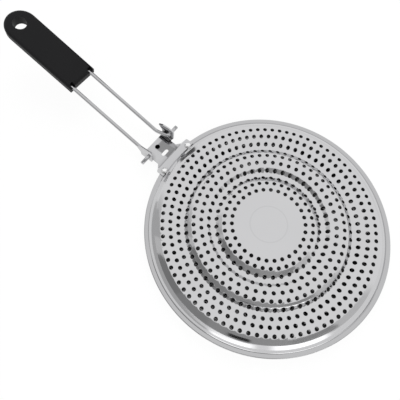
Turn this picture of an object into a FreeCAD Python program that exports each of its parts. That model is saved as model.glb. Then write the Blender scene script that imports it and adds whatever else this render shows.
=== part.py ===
import FreeCAD, Part
import math
import os
import Sketcher

# Hob heat diffuser with a folding wire handle.
# Millimetres, +Z up. The origin is on the disc's axis, in the plane that the underside rests on.
# The handle points along -X. "Reach" is the distance from the axis towards the handle.

doc = FreeCAD.newDocument("HeatDiffuser")
Vector = FreeCAD.Vector

# Driving dimensions
sheet = doc.addObject("Spreadsheet::Sheet", "Sizes")
sizes = [
    ("disc_radius", 105.0, "outside of the folded rim"),
    ("growth", "=disc_radius / 105", "this disc against the usual 210 mm one"),
    ("gauge", 0.6, "thickness of the pressed sheet"),
    ("plate_rise", 8.8, "from the rim up to the crown"),
    ("hem_width", 4.6, "width of the rim's turned-under edge"),
    ("rim_gap", 0.1, "play between the lower plate's edge and the fold"),
    ("rim_width", 6.4, "flat rim"),
    ("shoulder_width", 7.2, "rounded shoulder between rim and crown"),
    ("crown_width", "=10.8 * growth", "flat outer ridge"),
    ("trough_width", "=9.6 * growth", "flat of each trough"),
    ("ridge_width", "=10.1 * growth", "flat of the middle ridge"),
    ("wall_width", "=3 * growth", "sloping wall between a ridge and a trough"),
    ("rim_start", "=disc_radius - rim_width", "inside of the rim"),
    ("crown_end", "=rim_start - shoulder_width", "outside of the crown"),
    ("crown_start", "=crown_end - crown_width", "inside of the crown"),
    ("outer_trough_end", "=crown_start - wall_width", "outside of the outer trough"),
    ("outer_trough_start", "=outer_trough_end - trough_width", "inside of the outer trough"),
    ("middle_end", "=outer_trough_start - wall_width", "outside of the middle ridge"),
    ("middle_start", "=middle_end - ridge_width", "inside of the middle ridge"),
    ("inner_trough_end", "=middle_start - wall_width", "outside of the inner trough"),
    ("inner_trough_start", "=inner_trough_end - trough_width", "inside of the inner trough"),
    ("centre_radius", "=inner_trough_start - wall_width", "flat middle"),
    ("centre_drop", 2.9, "middle below the crown"),
    ("inner_trough_drop", 5.6, "inner trough below the crown"),
    ("middle_drop", 1.0, "middle ridge below the crown"),
    ("outer_trough_drop", 4.7, "outer trough below the crown"),
    ("first_row_inset", 2.5, "outermost row of holes inside the crown's edge"),
    ("row_pitch", "=6.43 * growth", "from one row to the next"),
    ("hole_radius", 1.45, "from a punched hole's middle to its corners"),
    ("overrun", 1.0, "how far a tool runs past what it cuts"),
    ("bracket_gauge", 1.2, "thickness of the bracket"),
    ("tab_inset", 6.3, "riveted tab in from the disc's edge"),
    ("rim_clearance", 0.6, "from the disc's edge to the step down"),
    ("tab_half_width", 21.0, "riveted tab to each side"),
    ("step_run", 3.2, "length of the step down"),
    ("base_drop", 5.0, "channel's floor below the rim"),
    ("neck_run", 9.0, "from the step to the narrowest place"),
    ("neck_length", 2.0, "straight part of the neck"),
    ("neck_half_width", 12.6, "bracket's narrowest half width"),
    ("neck_flare", 2.4, "from the neck to the channel"),
    ("channel_length", 12.6, "channel's floor along the handle"),
    ("tab_start", "=disc_radius - tab_inset", "inner edge of the riveted tab"),
    ("tab_end", "=disc_radius + rim_clearance", "where the bracket steps down past the rim"),
    ("neck_reach", "=tab_end + neck_run", "narrowest place of the bracket"),
    ("channel_start", "=neck_reach + neck_flare", "inner end of the channel"),
    ("channel_end", "=channel_start + channel_length", "outer end of the channel's floor"),
    ("channel_half_width", 15.5, "outside of the ears"),
    ("fold_radius", 1.5, "inside radius of the channel's folds"),
    ("ear_top", 11.1, "ears above the rim"),
    ("ear_slant", 1.0, "lean of the ear's corners"),
    ("ear_nose_overhang", 4.0, "tip of the ear's hook past the floor"),
    ("ear_nose_height", 6.6, "tip of the ear's hook above the rim"),
    ("ear_notch_height", 1.2, "notch under the hook above the rim"),
    ("ear_notch_overhang", 0.4, "bottom of the notch past the floor"),
    ("pivot_inset", 3.7, "handle's pivot from the channel's inner end"),
    ("pivot_reach", "=channel_start + pivot_inset", "handle's pivot"),
    ("pivot_height", 2.9, "handle's pivot above the rim"),
    ("pin_play", 0.08, "radial play of a pin in its ear"),
    ("pin_end", 23.8, "end of a pin, from the middle plane"),
    ("rivet_inset", 2.6, "rivets in from the disc's edge"),
    ("rivet_edge", 4.7, "rivets in from the tab's ends"),
    ("rivet_across", "=tab_half_width - rivet_edge", "rivets to each side"),
    ("rivet_reach", "=sqrt((disc_radius - rivet_inset)^2 - rivet_across^2)", "rivets along the handle"),
    ("rivet_radius", 1.6, "rivet's shank"),
    ("rivet_head_radius", 2.7, "rivet's domed head"),
    ("rivet_head_edge", 0.5, "upright edge of the head"),
    ("rivet_foot_radius", 2.4, "rivet's closed foot"),
    ("rivet_head_height", 1.5, "domed head"),
    ("rivet_foot_height", 0.8, "closed foot"),
    ("rivet_play", 0.05, "radial play of a rivet in its hole"),
    ("drain_radius", 2.3, "round hole in the channel's floor"),
    ("drain_inset", 7.0, "round hole from the channel's inner end"),
    ("window_offset", 0.3, "oblong hole past the neck's narrowest place"),
    ("window_length", 8.0, "oblong hole across the bracket"),
    ("window_width", 3.6, "oblong hole along the handle"),
    ("wire_radius", 1.55, "handle wire"),
    ("leg_half_gap", 11.1, "wire legs to each side"),
    ("leg_drop", 8.8, "legs below the pivot, square to the handle"),
    ("handle_rise", 15.0, "handle's slope in degrees"),
    ("pin_root", 12.0, "corner between leg and pin, from the middle plane"),
    ("knee_run", 12.1, "from the pivot out to the knee of a leg"),
    ("knee_bend", 9.0, "bend radius at the knee"),
    ("pin_bend", 2.2, "bend radius between leg and pin"),
    ("grip_start", 92.0, "from the pivot to the grip"),
    ("grip_length", 86.0, "grip"),
    ("grip_half_width", 15.0, "grip"),
    ("grip_thickness", 10.6, "grip"),
    ("grip_edge", 3.0, "rounding of the grip's long edges"),
    ("grip_play", 0.1, "radial play of the wire in the grip"),
    ("wire_inset", 28.0, "wire's closed end from the grip's end"),
    ("wire_length", "=grip_start + grip_length - wire_inset", "from the pivot to the wire's closed end"),
    ("slot_length", 3.6, "open slots at the front of the grip"),
    ("slot_width", 4.0, "open slots at the front of the grip"),
    ("hang_radius", 6.3, "hanging hole"),
    ("hang_inset", 13.2, "middle of the hanging hole from the grip's end"),
]
for line, (name, value, note) in enumerate(sizes, start=1):
    sheet.set("A%d" % line, name)
    sheet.set("B%d" % line, str(value))
    sheet.set("C%d" % line, note)
    sheet.setAlias("B%d" % line, name)
doc.recompute()


def size(name):
    return float(sheet.get(name))


HOLES_IN_ROW = [84, 78, 70, 64, 58, 50, 46, 40, 36, 30]
ROW_TURN = [3.2, 0.7, 3.4, 5.5, 2.4, 6.3, 0.9, 4.4, 7.5, 1.6]
HOLE_SIDES = 4
SHOULDER_STEPS = 2

RIM_TOP = "(Sizes.plate_rise + 2 * Sizes.gauge)"
rim_top = size("plate_rise") + 2 * size("gauge")
thickness = 2 * (size("plate_rise") + size("gauge"))

# Local axes of the upright plane through the handle: reach to the right, height up
SIDE_VIEW = FreeCAD.Rotation(Vector(-1, 0, 0), Vector(0, 0, 1), Vector(0, 1, 0), "XYZ")
HALF_PLANE = FreeCAD.Rotation(Vector(1, 0, 0), Vector(0, 0, 1), Vector(0, -1, 0), "XYZ")
# Plan seen from below: reach to the right, the handle's near side up
PLAN_VIEW = FreeCAD.Rotation(Vector(-1, 0, 0), Vector(0, 1, 0), Vector(0, 0, -1), "XYZ")
CROSS_VIEW = FreeCAD.Rotation(Vector(0, 1, 0), Vector(0, 0, 1), Vector(1, 0, 0), "XYZ")


def outline(name, corners, closed=True, turn=None, base=None):
    """Sketch of straight lines, with each corner held by two dimensions bound to the sheet."""
    sketch = doc.addObject("Sketcher::SketchObject", name)
    sketch.Placement = FreeCAD.Placement(base or Vector(), turn or FreeCAD.Rotation())
    count = len(corners)
    last = count if closed else count - 1
    rough = [Vector(10 + 7 * math.cos(6.28 * i / count), 10 + 7 * math.sin(6.28 * i / count), 0)
             for i in range(count)]
    for i in range(last):
        sketch.addGeometry(Part.LineSegment(rough[i], rough[(i + 1) % count]), False)
    for i in range(last - 1):
        sketch.addConstraint(Sketcher.Constraint("Coincident", i, 2, i + 1, 1))
    if closed:
        sketch.addConstraint(Sketcher.Constraint("Coincident", last - 1, 2, 0, 1))
    for i, (right, up) in enumerate(corners):
        edge, end = (i, 1) if i < last else (last - 1, 2)
        for kind, start, text in (("DistanceX", rough[i].x, right), ("DistanceY", rough[i].y, up)):
            index = sketch.addConstraint(Sketcher.Constraint(kind, -1, 1, edge, end, start))
            sketch.setExpression("Constraints[%d]" % index, text)
    return sketch


def bound(kind, name, **expressions):
    made = doc.addObject(kind, name)
    for prop, text in expressions.items():
        made.setExpression(prop, text)
    return made


def turned(name, face):
    """Full turn of a face about the disc's axis."""
    made = doc.addObject("Part::Revolution", name)
    made.Source = face
    made.Axis = Vector(0, 0, 1)
    made.Angle = 360
    made.Solid = True
    return made


def sheet_band(name, wire, side):
    """Band one sheet thick on one side of an open outline."""
    made = bound("Part::Offset2D", name, Value=side)
    made.Source = wire
    made.Mode = "Skin"
    made.Join = "Intersection"
    made.Fill = True
    return made


def thickened(name, sketch, length, both=False):
    made = doc.addObject("Part::Extrusion", name)
    made.Base = sketch
    made.DirMode = "Normal"
    made.setExpression("LengthFwd", length)
    made.Solid = True
    made.Symmetric = both
    return made


def combined(kind, name, pieces):
    made = doc.addObject(kind, name)
    made.Shapes = pieces
    return made


def cut(name, base, tool):
    made = doc.addObject("Part::Cut", name)
    made.Base = base
    made.Tool = tool
    return made


# Pressed plates: the same ridges and troughs above and below the rim
def ridge_line(height):
    """Outer face of a pressing from the axis to the rim; height turns a drop into a height."""
    steps = [("0", "centre_drop"), ("centre_radius", "centre_drop"),
             ("inner_trough_start", "inner_trough_drop"), ("inner_trough_end", "inner_trough_drop"),
             ("middle_start", "middle_drop"), ("middle_end", "middle_drop"),
             ("outer_trough_start", "outer_trough_drop"), ("outer_trough_end", "outer_trough_drop")]
    line = []
    for radius, drop in steps:
        line.append((radius if radius == "0" else "Sizes." + radius, height("Sizes." + drop)))
    line.append(("Sizes.crown_start", height("0")))
    line.append(("Sizes.crown_end", height("0")))
    for step in range(1, SHOULDER_STEPS + 1):
        turn = 90 * step / SHOULDER_STEPS
        line.append(("Sizes.crown_end + (Sizes.rim_start - Sizes.crown_end) * sin(%g deg)" % turn,
                     height("Sizes.plate_rise * (1 - cos(%g deg))" % turn)))
    return line


def above(drop):
    return "2 * (Sizes.plate_rise + Sizes.gauge) - (%s)" % drop


def below(drop):
    return "%s" % drop


upper_line = ridge_line(above)
upper_line.append(("Sizes.disc_radius", RIM_TOP))
upper_line.append(("Sizes.disc_radius", RIM_TOP + " - 3 * Sizes.gauge"))
upper_line.append(("Sizes.disc_radius - Sizes.hem_width", RIM_TOP + " - 3 * Sizes.gauge"))
lower_line = ridge_line(below)
lower_line.append(("Sizes.disc_radius - Sizes.gauge - Sizes.rim_gap", "Sizes.plate_rise"))

upper_wire = outline("upper_line", upper_line, closed=False, turn=HALF_PLANE)
lower_wire = outline("lower_line", lower_line, closed=False, turn=HALF_PLANE)
upper_blank = turned("upper_blank", sheet_band("upper_band", upper_wire, "-Sizes.gauge"))
lower_blank = turned("lower_blank", sheet_band("lower_band", lower_wire, "Sizes.gauge"))

def hole_punches():
    """Every punched hole of one plate, as upright prisms through the whole disc."""
    prisms = []
    for row, count in enumerate(HOLES_IN_ROW):
        radius = size("crown_end") - size("first_row_inset") - row * size("row_pitch")
        for number in range(count):
            angle = math.radians(180 + ROW_TURN[row] + 360 * number / count)
            corners = []
            for side in range(HOLE_SIDES + 1):
                spin = angle + 2 * math.pi * (side % HOLE_SIDES) / HOLE_SIDES
                corners.append(Vector(radius * math.cos(angle) + size("hole_radius") * math.cos(spin),
                                      radius * math.sin(angle) + size("hole_radius") * math.sin(spin),
                                      rim_top - size("gauge")))
            prisms.append(Part.Face(Part.makePolygon(corners)).extrude(Vector(0, 0, thickness)))
    return Part.Compound(prisms)


punches = doc.addObject("Part::Feature", "punches")
punches.Shape = hole_punches()


def rivet_drill(name, side):
    """Upright rod where a rivet goes through the bracket and the rim."""
    drill = bound("Part::Cylinder", name, Radius="Sizes.rivet_radius + Sizes.rivet_play",
                  Height="2 * (Sizes.plate_rise + Sizes.gauge)")
    drill.setExpression("Placement.Base.x", "-Sizes.rivet_reach")
    drill.setExpression("Placement.Base.y", "%d * Sizes.rivet_across" % side)
    return drill


rivet_drills = [rivet_drill("left_drill", 1), rivet_drill("right_drill", -1)]
upper_tools = doc.addObject("Part::Compound", "upper_tools")
upper_tools.Links = [punches] + rivet_drills
lower_tools = doc.addObject("Part::Compound", "lower_tools")
lower_tools.Links = rivet_drills
top_plate = cut("top_plate", upper_blank, upper_tools)
bottom_plate = cut("bottom_plate", lower_blank, lower_tools)

# Bracket: a riveted tab, a step down past the rim, and a channel whose sides are the ears
FLOOR = "(%s - Sizes.base_drop)" % RIM_TOP
strip_line = outline("strip_line", [
    ("Sizes.tab_start", RIM_TOP), ("Sizes.tab_end", RIM_TOP),
    ("Sizes.tab_end + Sizes.step_run", FLOOR + " - Sizes.bracket_gauge"),
    ("Sizes.channel_end", FLOOR + " - Sizes.bracket_gauge")], closed=False, turn=SIDE_VIEW)
strip_band = sheet_band("strip_band", strip_line, "-Sizes.bracket_gauge")
strip = thickened("strip", strip_band, "2 * Sizes.tab_half_width", both=True)

FLOOR_HALF_WIDTH = "Sizes.channel_half_width - 2 * Sizes.fold_radius"
plan_corners = [("Sizes.tab_start - Sizes.overrun", "Sizes.tab_half_width"),
                ("Sizes.tab_end", "Sizes.tab_half_width"),
                ("Sizes.neck_reach - Sizes.neck_length", "Sizes.neck_half_width"),
                ("Sizes.neck_reach", "Sizes.neck_half_width"),
                ("Sizes.channel_start", FLOOR_HALF_WIDTH),
                ("Sizes.channel_end + Sizes.overrun", FLOOR_HALF_WIDTH)]
plan_corners += [(reach, "-(%s)" % across) for reach, across in reversed(plan_corners)]
plan_line = outline("plan_line", plan_corners, turn=PLAN_VIEW, base=Vector(0, 0, thickness))
plan_block = thickened("plan_block", plan_line, "2 * (Sizes.plate_rise + Sizes.gauge)")
tab_and_floor = combined("Part::MultiCommon", "tab_and_floor", [strip, plan_block])

EAR_BLANK_TOP = RIM_TOP + " + Sizes.ear_top + Sizes.overrun"
channel_line = outline("channel_line", [
    ("Sizes.channel_half_width", EAR_BLANK_TOP),
    ("Sizes.channel_half_width", FLOOR + " - Sizes.bracket_gauge"),
    ("-Sizes.channel_half_width", FLOOR + " - Sizes.bracket_gauge"),
    ("-Sizes.channel_half_width", EAR_BLANK_TOP)], closed=False, turn=CROSS_VIEW)
channel_band = sheet_band("channel_band", channel_line, "Sizes.bracket_gauge")
channel_bar = doc.addObject("Part::Extrusion", "channel_bar")
channel_bar.Base = channel_band
channel_bar.Dir = Vector(-1, 0, 0)
channel_bar.DirMode = "Custom"
channel_bar.setExpression("LengthFwd",
                          "Sizes.channel_end + Sizes.ear_nose_overhang + Sizes.overrun")
channel_bar.Solid = True

ear_line = outline("ear_line", [
    ("Sizes.channel_start + 2 * Sizes.ear_slant", FLOOR + " - Sizes.bracket_gauge"),
    ("Sizes.channel_start", RIM_TOP + " - Sizes.base_drop / 2"),
    ("Sizes.channel_start - Sizes.ear_slant", RIM_TOP + " + Sizes.ear_top - Sizes.ear_slant"),
    ("Sizes.pivot_reach + Sizes.ear_slant", RIM_TOP + " + Sizes.ear_top"),
    ("Sizes.channel_end - Sizes.ear_slant", RIM_TOP + " + Sizes.ear_top - Sizes.ear_slant"),
    ("Sizes.channel_end + Sizes.ear_nose_overhang", RIM_TOP + " + Sizes.ear_nose_height"),
    ("Sizes.channel_end + Sizes.ear_notch_overhang", RIM_TOP + " + Sizes.ear_notch_height"),
    ("Sizes.channel_end + Sizes.ear_notch_overhang", FLOOR + " + Sizes.ear_slant"),
    ("Sizes.channel_end", FLOOR + " - Sizes.bracket_gauge")], turn=SIDE_VIEW)
ear_block = thickened("ear_block", ear_line, "2 * (Sizes.channel_half_width + Sizes.overrun)", both=True)


def folded(name, bar, edges_and_radii):
    """Fillets on the long edges of a bar, each named by a point that it passes in section."""
    picked = []
    for number, edge in enumerate(bar.Shape.Edges, start=1):
        middle = edge.CenterOfMass
        if edge.BoundBox.XLength < 1:
            continue
        for across, height, radius in edges_and_radii:
            if abs(abs(middle.y) - across) < 0.01 and abs(middle.z - height) < 0.01:
                picked.append((number, radius, radius))
    made = doc.addObject("Part::Fillet", name)
    made.Base = bar
    made.Edges = picked
    return made


doc.recompute()
floor_top = rim_top - size("base_drop")
outer_side = size("channel_half_width")
channel = folded("channel", channel_bar, [
    (outer_side, floor_top - size("bracket_gauge"), size("fold_radius") + size("bracket_gauge")),
    (outer_side - size("bracket_gauge"), floor_top, size("fold_radius"))])
ears = combined("Part::MultiCommon", "ears", [channel, ear_block])
bracket_sheet = combined("Part::MultiFuse", "bracket_sheet", [tab_and_floor, ears])

pin_hole = bound("Part::Cylinder", "pin_hole", Radius="Sizes.wire_radius + Sizes.pin_play",
                 Height="2 * (Sizes.channel_half_width + Sizes.overrun)")
pin_hole.Placement = FreeCAD.Placement(Vector(), SIDE_VIEW)
pin_hole.setExpression("Placement.Base.x", "-Sizes.pivot_reach")
pin_hole.setExpression("Placement.Base.y", "-Sizes.channel_half_width - Sizes.overrun")
pin_hole.setExpression("Placement.Base.z", RIM_TOP + " + Sizes.pivot_height")
drain = bound("Part::Cylinder", "drain", Radius="Sizes.drain_radius", Height="Sizes.plate_rise")
drain.setExpression("Placement.Base.x", "-Sizes.channel_start - Sizes.drain_inset")
window_ends = []
for side in (-1, 1):
    end = bound("Part::Cylinder", "window_end", Radius="Sizes.window_width / 2", Height="Sizes.plate_rise")
    end.setExpression("Placement.Base.x", "-Sizes.neck_reach - Sizes.window_offset")
    end.setExpression("Placement.Base.y", "%d * (Sizes.window_length - Sizes.window_width) / 2" % side)
    window_ends.append(end)
window_middle = bound("Part::Box", "window_middle", Length="Sizes.window_width",
                      Width="Sizes.window_length - Sizes.window_width", Height="Sizes.plate_rise")
window_middle.setExpression("Placement.Base.x",
                            "-Sizes.neck_reach - Sizes.window_offset - Sizes.window_width / 2")
window_middle.setExpression("Placement.Base.y", "-(Sizes.window_length - Sizes.window_width) / 2")
bracket_holes = combined("Part::MultiFuse", "bracket_holes",
                         [pin_hole, drain, window_middle] + rivet_drills + window_ends)
bracket = cut("handle_bracket", bracket_sheet, bracket_holes)

# Rivets: domed head on the tab, shank through the rim, foot closed under the fold
STACK_FOOT = RIM_TOP + " - 3 * Sizes.gauge"
TAB_TOP = RIM_TOP + " + Sizes.bracket_gauge"
rivet_corners = [("0", STACK_FOOT + " - Sizes.rivet_foot_height"),
                 ("Sizes.rivet_foot_radius", STACK_FOOT + " - Sizes.rivet_foot_height"),
                 ("Sizes.rivet_foot_radius", STACK_FOOT), ("Sizes.rivet_radius", STACK_FOOT),
                 ("Sizes.rivet_radius", TAB_TOP), ("Sizes.rivet_head_radius", TAB_TOP),
                 ("Sizes.rivet_head_radius", TAB_TOP + " + Sizes.rivet_head_edge"),
                 ("Sizes.rivet_radius", TAB_TOP + " + Sizes.rivet_head_height"),
                 ("0", TAB_TOP + " + Sizes.rivet_head_height")]


def rivet(name, side):
    made = turned(name, outline(name + "_profile", rivet_corners, turn=HALF_PLANE))
    made.setExpression("Placement.Base.x", "-Sizes.rivet_reach")
    made.setExpression("Placement.Base.y", "%d * Sizes.rivet_across" % side)
    return made


left_rivet = rivet("left_rivet", 1)
right_rivet = rivet("right_rivet", -1)

# Handle: all in its own frame, with the pivot as origin, X out along the handle and Z square to it
slope = math.radians(size("handle_rise"))
outward = Vector(-math.cos(slope), 0, math.sin(slope))
square_up = Vector(math.sin(slope), 0, math.cos(slope))
pivot = Vector(-size("pivot_reach"), 0, rim_top + size("pivot_height"))
HANDLE_FRAME = FreeCAD.Placement(pivot, FreeCAD.Rotation(outward, Vector(0, -1, 0), square_up, "XYZ"))


def in_handle(x_axis, z_axis, start):
    """Placement in the handle's frame of a primitive whose own axes are X and Z."""
    spin = FreeCAD.Rotation(x_axis, z_axis.cross(x_axis), z_axis, "XYZ")
    return HANDLE_FRAME.multiply(FreeCAD.Placement(start, spin))


def straight_run(start, end, bar_radius):
    along = end - start
    run = bound("Part::Cylinder", "run", Radius=bar_radius)
    run.Height = along.Length
    across = along.cross(Vector(1, 2, 3)).normalize()
    run.Placement = in_handle(across, along.normalize(), start)
    return run


def bent_bar(points, radii, bar_radius):
    """Runs of a round bar through the points, with an arc of the given radius at each bend."""
    runs = []
    start = points[0]
    for before, corner, after, radius in zip(points, points[1:], points[2:], radii):
        inward = (before - corner).normalize()
        onward = (after - corner).normalize()
        half = inward.getAngle(onward) / 2
        enter = corner + inward * (radius / math.tan(half))
        centre = corner + (inward + onward).normalize() * (radius / math.sin(half))
        runs.append(straight_run(start, enter, bar_radius))
        bend = bound("Part::Torus", "bend", Radius2=bar_radius)
        bend.Radius1 = radius
        bend.Angle3 = 180 - math.degrees(2 * half)
        bend.Placement = in_handle((enter - centre).normalize(), onward.cross(inward).normalize(), centre)
        runs.append(bend)
        start = corner + onward * (radius / math.tan(half))
    runs.append(straight_run(start, points[-1], bar_radius))
    return runs


wire_radius = size("wire_radius")
half_gap = size("leg_half_gap")
drop = size("leg_drop")
wire_end = size("wire_length")
wire_runs = [straight_run(Vector(wire_end, -half_gap - wire_radius, -drop),
                          Vector(wire_end, half_gap + wire_radius, -drop), "Sizes.wire_radius")]
for side in (-1, 1):
    leg = [Vector(0, side * size("pin_end"), 0), Vector(0, side * size("pin_root"), 0),
           Vector(size("knee_run"), side * half_gap, -drop),
           Vector(wire_end + wire_radius, side * half_gap, -drop)]
    wire_runs += bent_bar(leg, [size("pin_bend"), size("knee_bend")], "Sizes.wire_radius")
wire = combined("Part::MultiFuse", "handle_wire", wire_runs)

# Grip: a flat moulded bar with a round end, rounded edges, a hanging hole and two open slots
grip_body = doc.addObject("PartDesign::Body", "grip_body")
grip_body.Placement = in_handle(Vector(1, 0, 0), Vector(0, 0, 1), Vector(0, 0, -drop))


def plane_of(body, role):
    return [feature for feature in body.Origin.OriginFeatures if feature.Role == role][0]


def grip_sketch(name):
    sketch = grip_body.newObject("Sketcher::SketchObject", name)
    sketch.AttachmentSupport = [(plane_of(grip_body, "XY_Plane"), "")]
    sketch.MapMode = "FlatFace"
    return sketch


def dimension(sketch, kind, where, value, text):
    index = sketch.addConstraint(Sketcher.Constraint(kind, *where, value))
    sketch.setExpression("Constraints[%d]" % index, text)


bar = grip_sketch("grip_outline")
half = size("grip_half_width")
near = size("grip_start")
far = near + size("grip_length") - half
round_end = Part.Circle(Vector(far, 0, 0), Vector(0, 0, 1), half)
bar.addGeometry(Part.LineSegment(Vector(near, -half, 0), Vector(far, -half, 0)), False)
bar.addGeometry(Part.ArcOfCircle(round_end, -math.pi / 2, math.pi / 2), False)
bar.addGeometry(Part.LineSegment(Vector(far, half, 0), Vector(near, half, 0)), False)
bar.addGeometry(Part.LineSegment(Vector(near, half, 0), Vector(near, -half, 0)), False)
for first, second in ((0, 1), (1, 2), (2, 3), (3, 0)):
    bar.addConstraint(Sketcher.Constraint("Coincident", first, 2, second, 1))
bar.addConstraint(Sketcher.Constraint("Horizontal", 0))
bar.addConstraint(Sketcher.Constraint("Horizontal", 2))
bar.addConstraint(Sketcher.Constraint("Vertical", 3))
bar.addConstraint(Sketcher.Constraint("PointOnObject", 1, 3, -1))
bar.addConstraint(Sketcher.Constraint("Vertical", 1, 1, 1, 3))
bar.addConstraint(Sketcher.Constraint("Vertical", 1, 2, 1, 3))
dimension(bar, "Radius", (1,), half, "Sizes.grip_half_width")
dimension(bar, "DistanceX", (-1, 1, 3, 1), near, "Sizes.grip_start")
GRIP_END = "Sizes.grip_start + Sizes.grip_length"
dimension(bar, "DistanceX", (-1, 1, 1, 3), far, GRIP_END + " - Sizes.grip_half_width")
grip_pad = grip_body.newObject("PartDesign::Pad", "grip_pad")
grip_pad.Profile = bar
grip_pad.Midplane = True
grip_pad.setExpression("Length", "Sizes.grip_thickness")
doc.recompute()

broad_faces = ["Face%d" % number for number, face in enumerate(grip_pad.Shape.Faces, start=1)
               if face.BoundBox.ZLength < 0.01]
grip_rounding = grip_body.newObject("PartDesign::Fillet", "grip_rounding")
grip_rounding.Base = (grip_pad, broad_faces)
grip_rounding.setExpression("Radius", "Sizes.grip_edge")
doc.recompute()

hang_hole = grip_sketch("hang_hole")
hang_hole.addGeometry(Part.Circle(Vector(far, 0, 0), Vector(0, 0, 1), size("hang_radius")), False)
hang_hole.addConstraint(Sketcher.Constraint("PointOnObject", 0, 3, -1))
dimension(hang_hole, "Radius", (0,), size("hang_radius"), "Sizes.hang_radius")
dimension(hang_hole, "DistanceX", (-1, 1, 0, 3), far, GRIP_END + " - Sizes.hang_inset")
hang_pocket = grip_body.newObject("PartDesign::Pocket", "hang_pocket")
hang_pocket.Profile = hang_hole
hang_pocket.Type = "ThroughAll"
hang_pocket.Midplane = True
doc.recompute()
grip_body.Tip = hang_pocket

# Hollow of the grip: a bore for each leg, room for the wire's closed end, and the open slots
bore_radius = wire_radius + size("grip_play")
hollows = []
for side in (-1, 1):
    front = Vector(size("grip_start") - size("overrun"), side * half_gap, -drop)
    back = Vector(wire_end, side * half_gap, -drop)
    hollows.append(straight_run(front, back, "Sizes.wire_radius + Sizes.grip_play"))
    slot = bound("Part::Box", "grip_slot", Length="Sizes.slot_length + Sizes.overrun",
                 Width="Sizes.slot_width", Height="Sizes.grip_thickness")
    corner = front + Vector(0, -size("slot_width") / 2, 0)
    slot.Placement = in_handle(Vector(1, 0, 0), Vector(0, 0, 1), corner)
    hollows.append(slot)
end_room = bound("Part::Box", "end_room", Length="2 * (Sizes.wire_radius + Sizes.grip_play)",
                 Width="2 * (Sizes.leg_half_gap + Sizes.wire_radius + Sizes.grip_play)",
                 Height="2 * (Sizes.wire_radius + Sizes.grip_play)")
end_corner = Vector(wire_end - bore_radius, -half_gap - bore_radius, -drop - bore_radius)
end_room.Placement = in_handle(Vector(1, 0, 0), Vector(0, 0, 1), end_corner)
grip = cut("grip", grip_body, combined("Part::MultiFuse", "grip_hollow", hollows + [end_room]))

pieces = {"top_plate": top_plate, "bottom_plate": bottom_plate, "handle_bracket": bracket,
          "left_rivet": left_rivet, "right_rivet": right_rivet, "handle_wire": wire, "grip": grip}
doc.recompute()
for made in doc.Objects:
    if "Invalid" in made.State or "Error" in made.State:
        raise RuntimeError("%s failed: %s" % (made.Name, made.State))

os.makedirs("parts", exist_ok=True)
for node, made in pieces.items():
    made.Label = node
    shape = made.Shape
    if shape.isNull() or not shape.isValid() or len(shape.Solids) != 1:
        raise RuntimeError("%s isn't one valid solid" % node)
    shape.exportStep("parts/%s.step" % node)
    print(node, round(shape.Volume, 1), shape.BoundBox, len(shape.Faces))
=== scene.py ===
import math

import bmesh
import bpy
from mathutils import Matrix, Vector


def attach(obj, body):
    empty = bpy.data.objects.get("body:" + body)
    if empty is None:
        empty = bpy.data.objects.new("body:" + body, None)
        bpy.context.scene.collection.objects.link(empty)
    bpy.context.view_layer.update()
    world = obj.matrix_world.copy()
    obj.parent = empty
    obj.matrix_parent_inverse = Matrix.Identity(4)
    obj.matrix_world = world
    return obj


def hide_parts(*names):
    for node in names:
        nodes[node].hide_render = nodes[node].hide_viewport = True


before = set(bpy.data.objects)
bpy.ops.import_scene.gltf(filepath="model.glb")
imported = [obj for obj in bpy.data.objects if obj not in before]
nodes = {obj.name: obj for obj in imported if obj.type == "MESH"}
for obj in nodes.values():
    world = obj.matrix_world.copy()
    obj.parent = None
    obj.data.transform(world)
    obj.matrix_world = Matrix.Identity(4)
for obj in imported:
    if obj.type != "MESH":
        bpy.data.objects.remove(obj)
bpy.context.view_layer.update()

MM = 0.001

# Rows of holes from the outermost in: their number, and the turn of each row in degrees
HOLES_IN_ROW = [84, 78, 70, 64, 58, 50, 46, 40, 36, 30]
ROW_TURN = [3.2, 0.7, 3.4, 5.5, 2.4, 6.3, 0.9, 4.4, 7.5, 1.6]

# Sizes of the pressings, in millimetres
FIRST_ROW_RADIUS = 88.9
ROW_PITCH = 6.43
HOLE_RADIUS = 1.75
HOLE_LIP = 0.3
HOLE_DIP = 0.1
CELL_HALF = 2.3
GAUGE = 0.6
DISC_RADIUS = 105.0
HEM_WIDTH = 4.6
HEM_ROLL = 1.5 * GAUGE
RIM_GAP = 0.1
RIM_FLAT_START = 102.3
CROWN_END = 91.4
PLATE_RISE = 8.8
THICKNESS = 2 * (PLATE_RISE + GAUGE)
RIM_TOP = PLATE_RISE + 2 * GAUGE
MIDDLE_RINGS = (26, 21, 15.9, 15.5, 9, 3)
# Radius and drop below the crown, from the middle out. The photo shows rounder crests than the solids have
RIDGES = [
    (0, 2.75), (32.5, 2.8), (37.0, 3.0), (38.4, 3.3), (45.0, 7.1), (46.8, 7.15), (48.4, 6.6),
    (51.9, 3.7), (56.4, 1.8), (60.8, 0.8), (63.2, 1.0), (64.6, 1.5), (67.6, 3.1), (70.8, 5.95),
    (72.5, 6.1), (76.0, 4.5), (82.0, 1.45), (86.4, 0.15), (88.9, 0.3), (90.2, 0.6), (92.8, 1.75),
    (95.6, 3.4), (98.6, 5.95), (101.25, PLATE_RISE), (103, PLATE_RISE)]
RIDGE_SOFTENING = 0.7

# Steps of the pressings' mesh
SOFTENING_STEPS = 4
HEM_STEPS = 8
RIM_STEPS = 40
CELL_STEPS = 4
GAP_STEPS = 4
HOLE_CORNERS = 4 * CELL_STEPS
FIRST_CORNER_ANGLE = 135
SHEET_SHARP_ANGLE = 42

# Wire, in millimetres: what the photo shows more of its radius than the solid has
WIRE_SWELL = 0.16
WIRE_WELD = 0.001
WIRE_SHARP_ANGLE = 50


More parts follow.
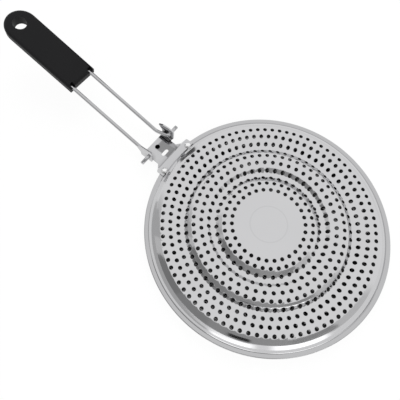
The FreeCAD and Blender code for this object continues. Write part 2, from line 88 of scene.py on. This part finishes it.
def ridge_drop(radius):
    """Drop below the crown on the straight line between two ridge points."""
    for (inner, first), (outer, second) in zip(RIDGES, RIDGES[1:]):
        if inner <= radius <= outer:
            return first + (second - first) * (radius - inner) / (outer - inner)
    return RIDGES[-1][1]


def plate_height(radius):
    """Height of the upper pressing's face, with its folds rounded off."""
    total, weights = 0.0, 0.0
    for step in range(-SOFTENING_STEPS, SOFTENING_STEPS + 1):
        weight = SOFTENING_STEPS + 1 - abs(step)
        total += weight * ridge_drop(abs(radius + RIDGE_SOFTENING * step / SOFTENING_STEPS))
        weights += weight
    return THICKNESS - total / weights


def rim_section(folded):
    """Radius and height of the outer face from the rim's edge in to the crown."""
    if folded:
        points = [(DISC_RADIUS - HEM_WIDTH, RIM_TOP - 2 * HEM_ROLL)]
        for step in range(HEM_STEPS + 1):
            turn = math.radians(180 * step / HEM_STEPS - 90)
            out, up = HEM_ROLL * math.cos(turn), HEM_ROLL * math.sin(turn)
            points.append((DISC_RADIUS - HEM_ROLL + out, RIM_TOP - HEM_ROLL + up))
    else:
        points = [(DISC_RADIUS - GAUGE - RIM_GAP, RIM_TOP)]
    for step in range(RIM_STEPS):
        radius = RIM_FLAT_START + (CROWN_END - RIM_FLAT_START) * step / RIM_STEPS
        points.append((radius, plate_height(radius)))
    return points


def row_angles(number):
    """Start and pitch of a row's cells, and the angles of the points along their edges."""
    count = HOLES_IN_ROW[number]
    pitch = math.tau / count
    first = math.radians(180 + ROW_TURN[number]) - pitch / 2
    return first, pitch, [first + pitch * k / CELL_STEPS for k in range(CELL_STEPS * count)]


class Pressing:
    """Outer face of one pressed plate, built ring by ring from the rim to the middle."""

    def __init__(self, flip):
        self.flip = flip
        self.points = []
        self.faces = []
        self.last = []

    def add(self, radius, angle, height):
        """Number of a new point, given in millimetres."""
        z = THICKNESS - height if self.flip else height
        self.points.append((radius * math.cos(angle) * MM, radius * math.sin(angle) * MM, z * MM))
        return len(self.points) - 1

    def face(self, *corners):
        self.faces.append(corners[::-1] if self.flip else corners)

    def ring(self, radius, height, angles):
        return [(angle, self.add(radius, angle, height)) for angle in angles]

    def grow(self, radius, height, angles=None):
        """One more ring, joined to the last one, whose angles it takes if it is given none."""
        ring = self.ring(radius, height, angles or [angle for angle, point in self.last])
        if self.last:
            self.join(self.last, ring)
        self.last = ring

    def join(self, outer, inner):
        """Strip between two rings. They have the same angles where they have as many points."""
        outer_count, inner_count = len(outer), len(inner)
        if outer_count != inner_count:
            start = outer[0][0]
            away = [abs(math.remainder(angle - start, math.tau)) for angle, point in inner]
            nearest = away.index(min(away))
            inner = inner[nearest:] + inner[:nearest]
        outer = [point for angle, point in outer + outer[:1]]
        inner = [point for angle, point in inner + inner[:1]]
        if outer_count == inner_count:
            for k in range(outer_count):
                self.face(outer[k], outer[k + 1], inner[k + 1], inner[k])
            return
        i = j = 0
        while i < outer_count or j < inner_count:
            if (i + 1) / outer_count <= (j + 1) / inner_count:
                self.face(outer[i], outer[i + 1], inner[j])
                i += 1
            else:
                self.face(outer[i], inner[j + 1], inner[j])
                j += 1

    def row(self, number):
        """One row of holes, each in the middle of a cell of its own."""
        count = HOLES_IN_ROW[number]
        radius = FIRST_ROW_RADIUS - number * ROW_PITCH
        first, pitch, angles = row_angles(number)
        levels = [radius + CELL_HALF * (1 - 2 * k / CELL_STEPS) for k in range(CELL_STEPS + 1)]
        heights = [plate_height(level) for level in levels]
        self.grow(levels[0], heights[0], angles)
        outer = [point for angle, point in self.last + self.last[:1]]
        sides = []
        for level, height in list(zip(levels, heights))[1:-1]:
            sides.append([self.add(level, first + pitch * cell, height) for cell in range(count)])
        self.last = self.ring(levels[-1], heights[-1], angles)
        inner = [point for angle, point in self.last + self.last[:1]]
        for cell in range(count):
            start, end = CELL_STEPS * cell, CELL_STEPS * (cell + 1) + 1
            edge = outer[start:end] + [side[(cell + 1) % count] for side in sides]
            edge += inner[start:end][::-1] + [side[cell] for side in sides[::-1]]
            self.hole(radius, first + pitch * (cell + 0.5), edge)

    def hole(self, radius, middle, edge):
        """Faces from the edge of a cell to the round hole in it, with a lip that dips."""
        loops = [edge]
        for reach, dip in ((HOLE_RADIUS + HOLE_LIP, 0), (HOLE_RADIUS, HOLE_DIP)):
            loop = []
            for k in range(HOLE_CORNERS):
                turn = math.radians(FIRST_CORNER_ANGLE - 360 * k / HOLE_CORNERS)
                out = radius + reach * math.sin(turn)
                angle = middle + reach * math.cos(turn) / radius
                loop.append(self.add(out, angle, plate_height(out) - dip))
            loops.append(loop)
        for wide, tight in zip(loops, loops[1:]):
            for k in range(HOLE_CORNERS):
                n = (k + 1) % HOLE_CORNERS
                self.face(wide[k], wide[n], tight[n], tight[k])

    def build(self, name):
        """The whole plate as an object, with the sheet's gauge on its inner side."""
        angles = row_angles(0)[2]
        for radius, height in rim_section(folded=not self.flip):
            self.grow(radius, height, angles)
        gap = ROW_PITCH - 2 * CELL_HALF
        for number in range(len(HOLES_IN_ROW)):
            if number > 0:
                start = FIRST_ROW_RADIUS - (number - 1) * ROW_PITCH - CELL_HALF
                for step in range(1, GAP_STEPS):
                    radius = start - gap * step / GAP_STEPS
                    self.grow(radius, plate_height(radius))
            self.row(number)
        for radius in MIDDLE_RINGS:
            self.grow(radius, plate_height(radius))
        self.face(*[point for angle, point in self.last])
        skin = bpy.data.meshes.new(name)
        skin.from_pydata(self.points, [], self.faces)
        skin.validate()
        skin.materials.append(sheet_steel)
        # The inner side gets a near-black steel: painted shade that keeps the holes dark
        skin.materials.append(inner_steel_painted_shade)
        shell = placed(name, skin)
        thick = shell.modifiers.new("gauge", "SOLIDIFY")
        thick.thickness = GAUGE * MM
        thick.offset = -1
        thick.material_offset = 1
        depsgraph = bpy.context.evaluated_depsgraph_get()
        sheet = bpy.data.meshes.new_from_object(shell.evaluated_get(depsgraph))
        bpy.data.objects.remove(shell)
        bpy.data.meshes.remove(skin)
        return placed(name, smoothed(sheet, SHEET_SHARP_ANGLE))


def placed(name, mesh):
    made = bpy.data.objects.new(name, mesh)
    bpy.context.scene.collection.objects.link(made)
    return made


def smoothed(mesh, sharp_angle):
    """Shades a mesh smooth but for edges sharper than this many degrees."""
    mesh.shade_smooth()
    mesh.set_sharp_from_angle(angle=math.radians(sharp_angle))
    return mesh


def swollen(node, name, extra, weld, sharp_angle):
    """The node's own form, welded, with its skin moved out by this many millimetres."""
    source = nodes[node]
    form = bmesh.new()
    form.from_mesh(source.data)
    bmesh.ops.remove_doubles(form, verts=form.verts, dist=weld * MM)
    bmesh.ops.recalc_face_normals(form, faces=form.faces)
    form.normal_update()
    shifts = [(vertex, vertex.normal * (extra * MM)) for vertex in form.verts]
    for vertex, shift in shifts:
        vertex.co += shift
    mesh = bpy.data.meshes.new(name)
    form.to_mesh(mesh)
    form.free()
    made = placed(name, smoothed(mesh, sharp_angle))
    made.matrix_world = source.matrix_world
    return made


# Shader nodes
def feed(tree, socket, value):
    """Sets an input to a value, or links it to the output that feeds it."""
    if isinstance(value, bpy.types.NodeSocket):
        tree.links.new(value, socket)
    else:
        socket.default_value = value


def add_node(tree, kind, inputs, **settings):
    """New node with these settings, and each input set or linked."""
    node = tree.nodes.new("ShaderNode" + kind)
    for name, value in settings.items():
        setattr(node, name, value)
    for key, value in inputs.items():
        feed(tree, node.inputs[key], value)
    return node


def calculated(tree, operation, *values):
    return add_node(tree, "Math", dict(enumerate(values)), operation=operation).outputs[0]


def ranged(tree, value, start, end, low, high, **settings):
    """Goes from low to high while the value goes from start to end."""
    inputs = {"Value": value, "From Min": start, "From Max": end, "To Min": low, "To Max": high}
    return add_node(tree, "MapRange", inputs, **settings).outputs["Result"]


def object_place(tree):
    return add_node(tree, "TexCoord", {}).outputs["Object"]


def noise(tree, scale, detail, stretch=(1, 1, 1)):
    spread = add_node(tree, "Mapping", {"Vector": object_place(tree), "Scale": stretch})
    inputs = {"Vector": spread.outputs["Vector"], "Scale": scale, "Detail": detail}
    return add_node(tree, "TexNoise", inputs).outputs["Fac"]


def length(tree, vector):
    return add_node(tree, "VectorMath", {0: vector}, operation="LENGTH").outputs["Value"]


def scaled(tree, vector, factor):
    inputs = {"Vector": vector, "Scale": factor}
    return add_node(tree, "VectorMath", inputs, operation="SCALE").outputs["Vector"]


def bumped(tree, source, height, surface):
    """Presses a pattern of this height in millimetres into a surface."""
    bump = add_node(tree, "Bump", {"Strength": 1.0, "Distance": height * MM, "Height": source})
    feed(tree, surface["Normal"], bump.outputs["Normal"])


def painted_corner_shade(tree, corner_shade, reach):
    """Painted shade: 1 in the open, down to the given level where other surfaces stand within reach, in
    millimetres.
    """
    corner = add_node(tree, "AmbientOcclusion", {"Distance": reach * MM}, samples=OCCLUSION_SAMPLES)
    return ranged(tree, corner.outputs["AO"], *OCCLUSION_SPAN, corner_shade, 1.0)


def new_finish(name):
    """New material, its node tree and the inputs of its shader."""
    made = bpy.data.materials.new(name)
    made.use_nodes = True
    return made, made.node_tree, made.node_tree.nodes["Principled BSDF"].inputs


# Finishes, in millimetres. A noise has a scale, a detail and for the grain a stretch
NOISE_SPAN = (0.3, 0.7)
OCCLUSION_SAMPLES = 8
OCCLUSION_SPAN = (0.25, 0.85)
STEEL_CLOUDS = (22, 4)
STEEL_CLOUD_SHADE = 0.94
STEEL_GRAIN = (900, 2, (0.06, 1, 1))
# Painted shade on the pressings: the rim darker from this radius out over a blend, and a faint darker ring
# of this radius and half width
RIM_SHADE_START = 100.6
RIM_SHADE_BLEND = 0.8
RIM_PAINTED_SHADE = 0.83
CENTRE_RING_RADIUS = 15.8
CENTRE_RING_HALF = 0.9
CENTRE_RING_PAINTED_SHADE = 0.93
GRIP_CLOUDS = (40, 3)
GRIP_ROUGHNESS = (0.42, 0.52)
GRIP_SPECK = (1400, 2)
GRIP_SPECK_HEIGHT = 0.03
GRIP_GLOSS = 0.15
GRIP_CORNER_REACH = 9


def painted_rim_and_ring_shade(tree, colour):
    """Painted shade: a darker rim and a faint darker ring round the middle of a pressing."""
    flat = add_node(tree, "VectorMath", {0: object_place(tree), 1: (1, 1, 0)}, operation="MULTIPLY")
    radius = length(tree, flat.outputs["Vector"])
    blend_end = RIM_SHADE_START + RIM_SHADE_BLEND
    rim = ranged(tree, radius, RIM_SHADE_START * MM, blend_end * MM, 1.0, RIM_PAINTED_SHADE)
    offset = calculated(tree, "SUBTRACT", radius, CENTRE_RING_RADIUS * MM)
    beside = calculated(tree, "ABSOLUTE", offset)
    centre_ring_shade = ranged(tree, beside, 0, CENTRE_RING_HALF * MM, CENTRE_RING_PAINTED_SHADE, 1.0)
    return scaled(tree, scaled(tree, colour, rim), centre_ring_shade)


def steel(name, colour, roughness, spread, grain, corner_shade, reach, rim_and_ring_shade=False):
    """Bare steel: cloudy gloss, a faint rolled grain, and painted shade that darkens it where other
    surfaces stand close, as in corners.
    """
    made, tree, surface = new_finish(name)
    surface["Metallic"].default_value = 1.0
    clouds = noise(tree, *STEEL_CLOUDS)
    gloss = ranged(tree, clouds, *NOISE_SPAN, roughness - spread, roughness + spread)
    feed(tree, surface["Roughness"], gloss)
    shaded = (*[c * STEEL_CLOUD_SHADE for c in colour], 1)
    tint = add_node(tree, "Mix", {"Factor": clouds, "A": shaded, "B": (*colour, 1)}, data_type="RGBA")
    # Painted shade from ambient occlusion darkens the colour in corners and where parts stand close
    seen = scaled(tree, tint.outputs["Result"], painted_corner_shade(tree, corner_shade, reach))
    # Painted shade on the pressing's rim and on a faint ring round its middle
    if rim_and_ring_shade:
        seen = painted_rim_and_ring_shade(tree, seen)
    feed(tree, surface["Base Color"], seen)
    if grain:
        bumped(tree, noise(tree, *STEEL_GRAIN), grain, surface)
    return made


def plastic(name, colour):
    """Moulded plastic with a fine speck, and painted shade that dims its gloss in its corners."""
    made, tree, surface = new_finish(name)
    surface["Base Color"].default_value = (*colour, 1)
    # Painted shade from ambient occlusion lowers the gloss in the grip's corners
    open_share = painted_corner_shade(tree, 0.0, GRIP_CORNER_REACH)
    feed(tree, surface["Specular IOR Level"], calculated(tree, "MULTIPLY", open_share, GRIP_GLOSS))
    clouds = noise(tree, *GRIP_CLOUDS)
    feed(tree, surface["Roughness"], ranged(tree, clouds, *NOISE_SPAN, *GRIP_ROUGHNESS))
    bumped(tree, noise(tree, *GRIP_SPECK), GRIP_SPECK_HEIGHT, surface)
    return made


# Each steel is painted darker in its corners, down to the given level, where surfaces stand within the
# given reach in millimetres
sheet_steel = steel("pressed_steel", (0.62, 0.62, 0.63), roughness=0.10, spread=0.03, grain=0.003,
                    corner_shade=0.8, reach=2.5, rim_and_ring_shade=True)
# Near-black steel for the plates' inner sides: painted shade for the dark holes
inner_steel_painted_shade = steel("inner_steel_painted_shade", (0.10, 0.10, 0.10), roughness=0.55, spread=0.05, grain=0.003,
                   corner_shade=0.35, reach=2.5)
bright_steel = steel("bright_steel", (0.57, 0.57, 0.58), roughness=0.05, spread=0.02, grain=0,
                     corner_shade=0.0, reach=8)
# Rivet steel painted lighter than the rest: a painted highlight on the rivets' heads
rivet_steel_and_highlight = steel("rivet_steel_and_highlight", (0.92, 0.92, 0.92), roughness=0.12, spread=0.03, grain=0,
                    corner_shade=0.45, reach=2)
wire_steel = steel("wire_steel", (0.50, 0.50, 0.51), roughness=0.10, spread=0.03, grain=0,
                   corner_shade=1.0, reach=4)
black_plastic = plastic("black_plastic", (0.0095, 0.0095, 0.0105))


def dress(obj, material):
    obj.data.materials.clear()
    obj.data.materials.append(material)


def fit(obj, node, body):
    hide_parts(node)
    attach(obj, body)


# Pieces
upper = Pressing(flip=False).build("perforated_top")
fit(upper, "top_plate", "diffuser")
lower = Pressing(flip=True).build("perforated_bottom")
fit(lower, "bottom_plate", "diffuser")
wire = swollen("handle_wire", "folding_wire", WIRE_SWELL, WIRE_WELD, WIRE_SHARP_ANGLE)
dress(wire, wire_steel)
fit(wire, "handle_wire", "handle")
dress(nodes["handle_bracket"], bright_steel)
dress(nodes["left_rivet"], rivet_steel_and_highlight)
dress(nodes["right_rivet"], rivet_steel_and_highlight)
dress(nodes["grip"], black_plastic)

# Studio, in metres unless a name ends in _MM
FLOOR_SIZE = 8
FLOOR_HEIGHT = -0.0002
FLOOR_GREY = 0.9
FLOOR_ROUGHNESS = 0.9
FLOOR_GLOW = 1.05
FLOOR_SHARE = 0.88
FLOOR_IN_METAL = 0.75
PLATE_SHADOW_MM = (DISC_RADIUS - 12, DISC_RADIUS - 1)
DRAIN_SHADOW = (-0.1258, 0.0015, 0)
DRAIN_SHADOW_MM = (3.2, 4.6)
# Boards round the object, seen only in reflections: middle and half span in degrees from +X, distance,
# lowest and highest elevation in degrees, brightness
BOARDS = [
    (-124, 14, 1.0, 13, 47, 0.26), (-97, 14, 1.0, 13, 55, 0.30), (-70, 14, 1.0, 14, 55, 0.36),
    (-43, 14, 1.0, 19, 55, 0.40), (-17, 14, 1.0, 17, 37, 0.34), (-124, 46, 1.0, -1, 13, 0.55),
    (-62, 7, 0.95, 26.5, 32, 0.0)]
# Boards with soft ends: two white strips in front of the others, and a pale one behind each end of the row
SOFT_BOARDS = [
    (-67, 17, 0.9, -1, 11, 1.9), (-27, 19.5, 0.9, -1, 18, 1.9),
    (-152, 27, 1.1, 13, 42, 0.70), (5, 21, 1.1, 5, 38, 0.70)]
SOFT_END = 0.45
# Small boards beside the handle for the bracket and the wire: centre, facing, width, height, brightness
NEAR_BOARDS = [
    ((-0.1395, 0.026, 0.064), (0, 0, -1), 0.020, 0.017, 0.46),
    ((-0.22, -0.10, 0.085), (0, 1, 0), 0.19, 0.11, 0.55),
    ((-0.265, 0.075, 0.04), (0, -1, 0), 0.13, 0.08, 0.10)]
# Lights that aren't seen in reflections: name, place, side of the square, power in watts
LIGHTS = [("key", (-0.5, 0.7, 1.1), 0.9, 4), ("fill", (0.8, -0.5, 0.9), 0.8, 2)]
WORLD_LIGHT = 0.55


def panel(name, centre, facing, width, height):
    """Flat piece of the studio, its width level and its front set to face this way."""
    x, y = width / 2, height / 2
    mesh = bpy.data.meshes.new(name)
    mesh.from_pydata([(-x, -y, 0), (x, -y, 0), (x, y, 0), (-x, y, 0)], [], [(0, 1, 2, 3)])
    made = placed(name, mesh)
    made.location = centre
    made.rotation_mode = "QUATERNION"
    made.rotation_quaternion = Vector(facing).to_track_quat("Z", "Y")
    return made


def floor_finish(name):
    """Pale floor that the camera and the metal see as white. It is dark under the plates, where its glow is
    left out, and under the bracket's hole, where a painted shadow also darkens its own colour; it is open
    from below."""
    made, tree, surface = new_finish(name)
    surface["Roughness"].default_value = FLOOR_ROUGHNESS
    surface["Specular IOR Level"].default_value = 0.0
    path = add_node(tree, "LightPath", {}).outputs
    place = add_node(tree, "NewGeometry", {}).outputs
    seen = calculated(tree, "MULTIPLY_ADD", path["Is Glossy Ray"], FLOOR_IN_METAL, path["Is Camera Ray"])
    start, end = PLATE_SHADOW_MM
    beside_plates = ranged(tree, length(tree, object_place(tree)), start * MM, end * MM, 0, FLOOR_SHARE,
                           interpolation_type="SMOOTHSTEP")
    from_drain = add_node(tree, "VectorMath", {0: place["Position"], 1: DRAIN_SHADOW}, operation="DISTANCE")
    start, end = DRAIN_SHADOW_MM
    beside_drain = ranged(tree, from_drain.outputs["Value"], start * MM, end * MM, 0, 1,
                          interpolation_type="SMOOTHSTEP")
    # Painted shadow: the floor's own colour goes dark under the bracket's hole
    feed(tree, surface["Base Color"], scaled(tree, (FLOOR_GREY,) * 3, beside_drain))
    share = calculated(tree, "MULTIPLY", beside_plates, beside_drain)
    share = calculated(tree, "MULTIPLY", seen, share)
    glow = add_node(tree, "Emission", {"Strength": FLOOR_GLOW}).outputs["Emission"]
    matt = tree.nodes["Principled BSDF"].outputs["BSDF"]
    above = add_node(tree, "MixShader", {0: share, 1: matt, 2: glow}).outputs["Shader"]
    clear = add_node(tree, "BsdfTransparent", {}).outputs["BSDF"]
    both = add_node(tree, "MixShader", {0: place["Backfacing"], 1: above, 2: clear}).outputs["Shader"]
    feed(tree, tree.nodes["Material Output"].inputs["Surface"], both)
    return made


def board(name, centre, facing, width, height, grey, fade=0.0):
    """Plain glowing board, seen only in reflections. Fade is the part of each half that fades out."""
    card = panel(name, centre, facing, width, height)
    made, tree, surface = new_finish(name)
    surface["Base Color"].default_value = (0, 0, 0, 1)
    surface["Specular IOR Level"].default_value = 0.0
    surface["Emission Color"].default_value = (1, 1, 1, 1)
    surface["Emission Strength"].default_value = grey
    if fade:
        across = add_node(tree, "SeparateXYZ", {0: object_place(tree)}).outputs["X"]
        from_middle = calculated(tree, "ABSOLUTE", across)
        shown = ranged(tree, from_middle, width / 2 * (1 - fade), width / 2, 1.0, 0.0,
                       interpolation_type="SMOOTHSTEP")
        feed(tree, surface["Alpha"], shown)
    dress(card, made)
    card.visible_camera = False
    card.visible_shadow = False
    card.visible_diffuse = False


def around(middle, half_span, reach, low, high):
    """Centre, facing, width and height of a board that stands round the object."""
    turn = math.radians(middle)
    outward = Vector((math.cos(turn), math.sin(turn), 0))
    bottom, top = math.tan(math.radians(low)) * reach, math.tan(math.radians(high)) * reach
    centre = outward * reach + Vector((0, 0, (bottom + top) / 2))
    return centre, -outward, 2 * reach * math.tan(math.radians(half_span)), top - bottom


def soft_light(name, centre, side, power):
    """Square light that shines on the middle of the disc."""
    data = bpy.data.lights.new(name, "AREA")
    data.shape = "RECTANGLE"
    data.size = data.size_y = side
    data.energy = power
    lamp = placed(name, data)
    lamp.location = centre
    lamp.rotation_mode = "QUATERNION"
    toward = Vector((0, 0, RIM_TOP * MM)) - Vector(centre)
    lamp.rotation_quaternion = toward.to_track_quat("-Z", "Y")
    lamp.visible_glossy = False


floor = panel("floor", (0, 0, FLOOR_HEIGHT), (0, 0, 1), FLOOR_SIZE, FLOOR_SIZE)
dress(floor, floor_finish("floor_white"))
for number, (*place, grey) in enumerate(BOARDS):
    board("board_%d" % number, *around(*place), grey)
for number, values in enumerate(NEAR_BOARDS):
    board("near_board_%d" % number, *values)
for values in LIGHTS:
    soft_light(*values)
for number, (*place, grey) in enumerate(SOFT_BOARDS):
    board("soft_board_%d" % number, *around(*place), grey, SOFT_END)

# World: white to the camera and in reflections, dimmer as a light
world = bpy.data.worlds.new("studio")
bpy.context.scene.world = world
world.use_nodes = True
path = add_node(world.node_tree, "LightPath", {}).outputs
seen = calculated(world.node_tree, "MAXIMUM", path["Is Camera Ray"], path["Is Glossy Ray"])
seen = calculated(world.node_tree, "MAXIMUM", seen, path["Is Transmission Ray"])
background = world.node_tree.nodes["Background"].inputs
background["Color"].default_value = (1, 1, 1, 1)
feed(world.node_tree, background["Strength"], ranged(world.node_tree, seen, 0, 1, WORLD_LIGHT, 1.0))

scene = bpy.context.scene
scene.view_settings.view_transform = "Standard"

# Camera: place, direction, roll and lens of the photograph
EYE = Vector((0.0038, -0.1085, 0.3181))
LOOK = Vector((-0.1933, 0.2772, -0.9412)).normalized()
IMAGE_UP = Vector((-0.5922, 0.7318, 0.3372))
LENS = 33.81
SENSOR_WIDTH = 36
NEAREST = 0.01
right = LOOK.cross(IMAGE_UP).normalized()
camera_data = bpy.data.cameras.new("camera")
camera_data.lens = LENS
camera_data.sensor_width = SENSOR_WIDTH
camera_data.clip_start = NEAREST
camera = placed("camera", camera_data)
camera.location = EYE
camera.rotation_mode = "QUATERNION"
camera.rotation_quaternion = Matrix((right, right.cross(LOOK), -LOOK)).transposed().to_quaternion()
scene.camera = camera
